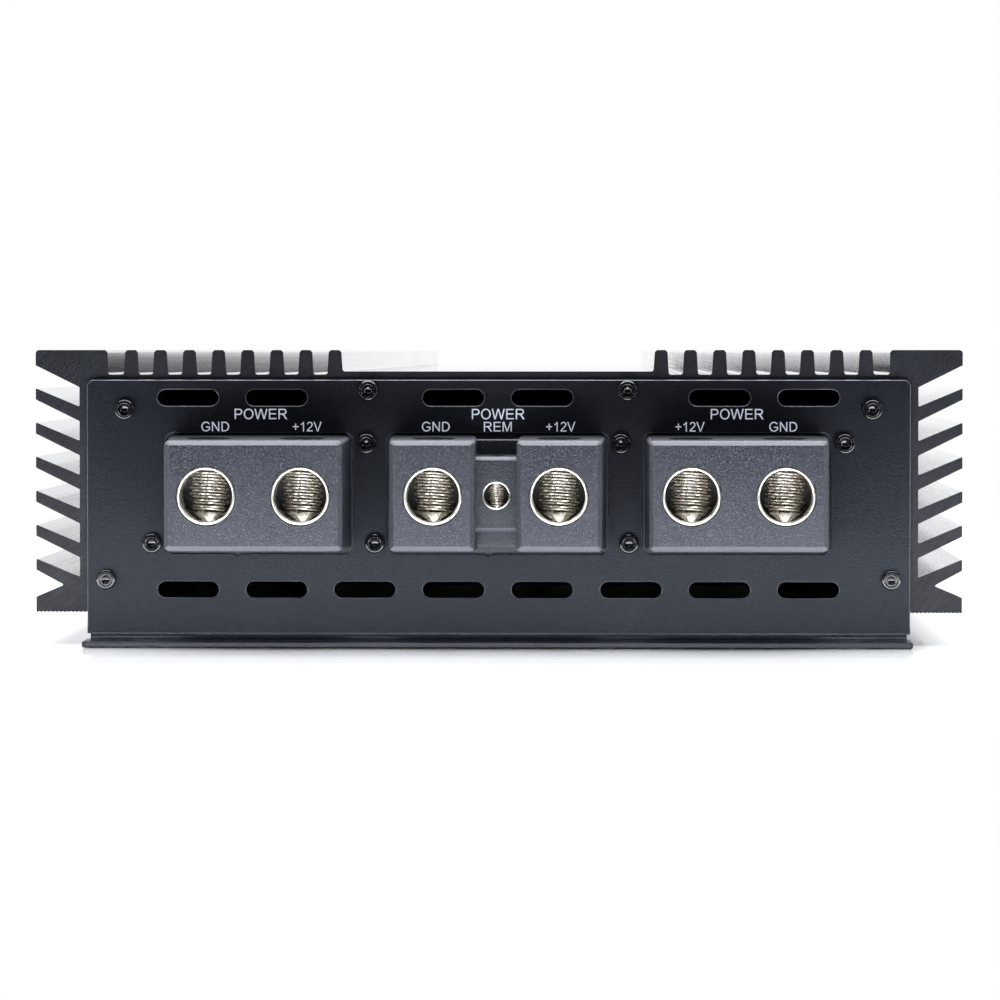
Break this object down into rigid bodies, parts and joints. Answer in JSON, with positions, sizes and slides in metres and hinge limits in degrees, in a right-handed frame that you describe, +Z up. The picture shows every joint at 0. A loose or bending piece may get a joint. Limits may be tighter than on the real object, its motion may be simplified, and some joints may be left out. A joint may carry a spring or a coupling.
{
  "type": "car amplifier",
  "caption": "Black finned aluminium car amplifier with folded steel end panels, vents, plastic power terminal blocks with plated cable bores and clamping screws, and foot flanges.",
  "frame": {"origin": "centre of the footprint, on the plane that the two foot flanges stand on", "axes": "+Z up, away from the mounting surface; Y along the extrusion with the power terminals at the -Y end and the controls at +Y; X across the width"},
  "size_m": [0.232, 0.645, 0.0737],
  "materials": {
    "anodised_aluminium": "black anodised, satin on the extruded faces, sawn ends",
    "powder_coated_steel": "black fine-texture powder coat",
    "black_screw": "glossy black oxide",
    "terminal_plastic": "matte moulded dark grey",
    "nickel_plate": "bright nickel plate with a warm tint",
    "set_screw_steel": "zinc plated",
    "circuit_board": "green solder mask",
    "copper_winding": "enamelled copper wire",
    "capacitor_sleeve": "black shrink sleeve",
    "black_plastic": "satin black moulded plastic",
    "zinc_bar": "zinc plated bar",
    "blue_lens": "clear tinted lens",
    "red_lens": "clear tinted lens"
  },
  "bodies": {
    "chassis": {"bottom_cover": "powder_coated_steel", "control_board": "circuit_board", "control_end_panel": "powder_coated_steel", "heatsink": "anodised_aluminium", "main_circuit_board": "circuit_board", "output_inductor": "copper_winding", "panel_screw_01": "black_screw", "panel_screw_02": "black_screw", "panel_screw_03": "black_screw", "panel_screw_04": "black_screw", "panel_screw_05": "black_screw", "panel_screw_06": "black_screw", "panel_screw_07": "black_screw", "panel_screw_08": "black_screw", "panel_screw_09": "black_screw", "panel_screw_10": "black_screw", "panel_screw_11": "black_screw", "panel_screw_12": "black_screw", "power_end_panel": "powder_coated_steel", "power_led_lens": "blue_lens", "power_transformer_left": "copper_winding", "power_transformer_right": "copper_winding", "protect_led_lens": "red_lens", "rca_jack_block": "black_plastic", "remote_port_jack": "black_plastic", "reservoir_capacitor_left": "capacitor_sleeve", "reservoir_capacitor_right": "capacitor_sleeve", "speaker_terminal_1": "nickel_plate", "speaker_terminal_2": "nickel_plate", "speaker_terminal_3": "nickel_plate", "speaker_terminal_4": "nickel_plate", "speaker_terminal_housing": "terminal_plastic", "terminal_centre_12v": "nickel_plate", "terminal_centre_gnd": "nickel_plate", "terminal_housing_centre": "terminal_plastic", "terminal_housing_left": "terminal_plastic", "terminal_housing_right": "terminal_plastic", "terminal_left_12v": "nickel_plate", "terminal_left_gnd": "nickel_plate", "terminal_remote": "nickel_plate", "terminal_right_12v": "nickel_plate", "terminal_right_gnd": "nickel_plate", "transistor_clamp_left": "zinc_bar", "transistor_clamp_right": "zinc_bar"},
    "set_screw_left_gnd": {"set_screw_left_gnd": "set_screw_steel"},
    "set_screw_left_12v": {"set_screw_left_12v": "set_screw_steel"},
    "set_screw_centre_gnd": {"set_screw_centre_gnd": "set_screw_steel"},
    "set_screw_centre_12v": {"set_screw_centre_12v": "set_screw_steel"},
    "set_screw_right_12v": {"set_screw_right_12v": "set_screw_steel"},
    "set_screw_right_gnd": {"set_screw_right_gnd": "set_screw_steel"},
    "set_screw_remote": {"set_screw_remote": "set_screw_steel"},
    "speaker_set_screw_1": {"speaker_set_screw_1": "set_screw_steel"},
    "speaker_set_screw_2": {"speaker_set_screw_2": "set_screw_steel"},
    "speaker_set_screw_3": {"speaker_set_screw_3": "set_screw_steel"},
    "speaker_set_screw_4": {"speaker_set_screw_4": "set_screw_steel"},
    "mode_switch_lever": {"mode_switch_lever": "black_plastic"},
    "level_knob": {"level_knob": "black_plastic"},
    "low_pass_knob": {"low_pass_knob": "black_plastic"},
    "subsonic_knob": {"subsonic_knob": "black_plastic"},
    "bass_boost_knob": {"bass_boost_knob": "black_plastic"}
  },
  "joints": [
    {"name": "left_gnd_screw_travel", "type": "slide", "parent": "chassis", "child": "set_screw_left_gnd", "axis": [0, 0, -1], "range_m": [0, 0.0105]},
    {"name": "left_12v_screw_travel", "type": "slide", "parent": "chassis", "child": "set_screw_left_12v", "axis": [0, 0, -1], "range_m": [0, 0.0105]},
    {"name": "centre_gnd_screw_travel", "type": "slide", "parent": "chassis", "child": "set_screw_centre_gnd", "axis": [0, 0, -1], "range_m": [0, 0.0105]},
    {"name": "centre_12v_screw_travel", "type": "slide", "parent": "chassis", "child": "set_screw_centre_12v", "axis": [0, 0, -1], "range_m": [0, 0.0105]},
    {"name": "right_12v_screw_travel", "type": "slide", "parent": "chassis", "child": "set_screw_right_12v", "axis": [0, 0, -1], "range_m": [0, 0.0105]},
    {"name": "right_gnd_screw_travel", "type": "slide", "parent": "chassis", "child": "set_screw_right_gnd", "axis": [0, 0, -1], "range_m": [0, 0.0105]},
    {"name": "remote_screw_travel", "type": "slide", "parent": "chassis", "child": "set_screw_remote", "axis": [0, 0, -1], "range_m": [0, 0.0053]},
    {"name": "speaker_1_screw_travel", "type": "slide", "parent": "chassis", "child": "speaker_set_screw_1", "axis": [0, 0, -1], "range_m": [0, 0.0072]},
    {"name": "speaker_2_screw_travel", "type": "slide", "parent": "chassis", "child": "speaker_set_screw_2", "axis": [0, 0, -1], "range_m": [0, 0.0072]},
    {"name": "speaker_3_screw_travel", "type": "slide", "parent": "chassis", "child": "speaker_set_screw_3", "axis": [0, 0, -1], "range_m": [0, 0.0072]},
    {"name": "speaker_4_screw_travel", "type": "slide", "parent": "chassis", "child": "speaker_set_screw_4", "axis": [0, 0, -1], "range_m": [0, 0.0072]},
    {"name": "mode_switch_travel", "type": "slide", "parent": "chassis", "child": "mode_switch_lever", "axis": [1, 0, 0], "range_m": [0, 0.004]},
    {"name": "level_knob_turn", "type": "hinge", "parent": "chassis", "child": "level_knob", "pos_m": [0.046, 0.305, 0.0475], "axis": [0, -1, 0], "range_deg": [-150, 150]},
    {"name": "low_pass_knob_turn", "type": "hinge", "parent": "chassis", "child": "low_pass_knob", "pos_m": [0.058, 0.305, 0.0475], "axis": [0, -1, 0], "range_deg": [-150, 150]},
    {"name": "subsonic_knob_turn", "type": "hinge", "parent": "chassis", "child": "subsonic_knob", "pos_m": [0.07, 0.305, 0.0475], "axis": [0, -1, 0], "range_deg": [-150, 150]},
    {"name": "bass_boost_knob_turn", "type": "hinge", "parent": "chassis", "child": "bass_boost_knob", "pos_m": [0.082, 0.305, 0.0475], "axis": [0, -1, 0], "range_deg": [-150, 150]}
  ]
}
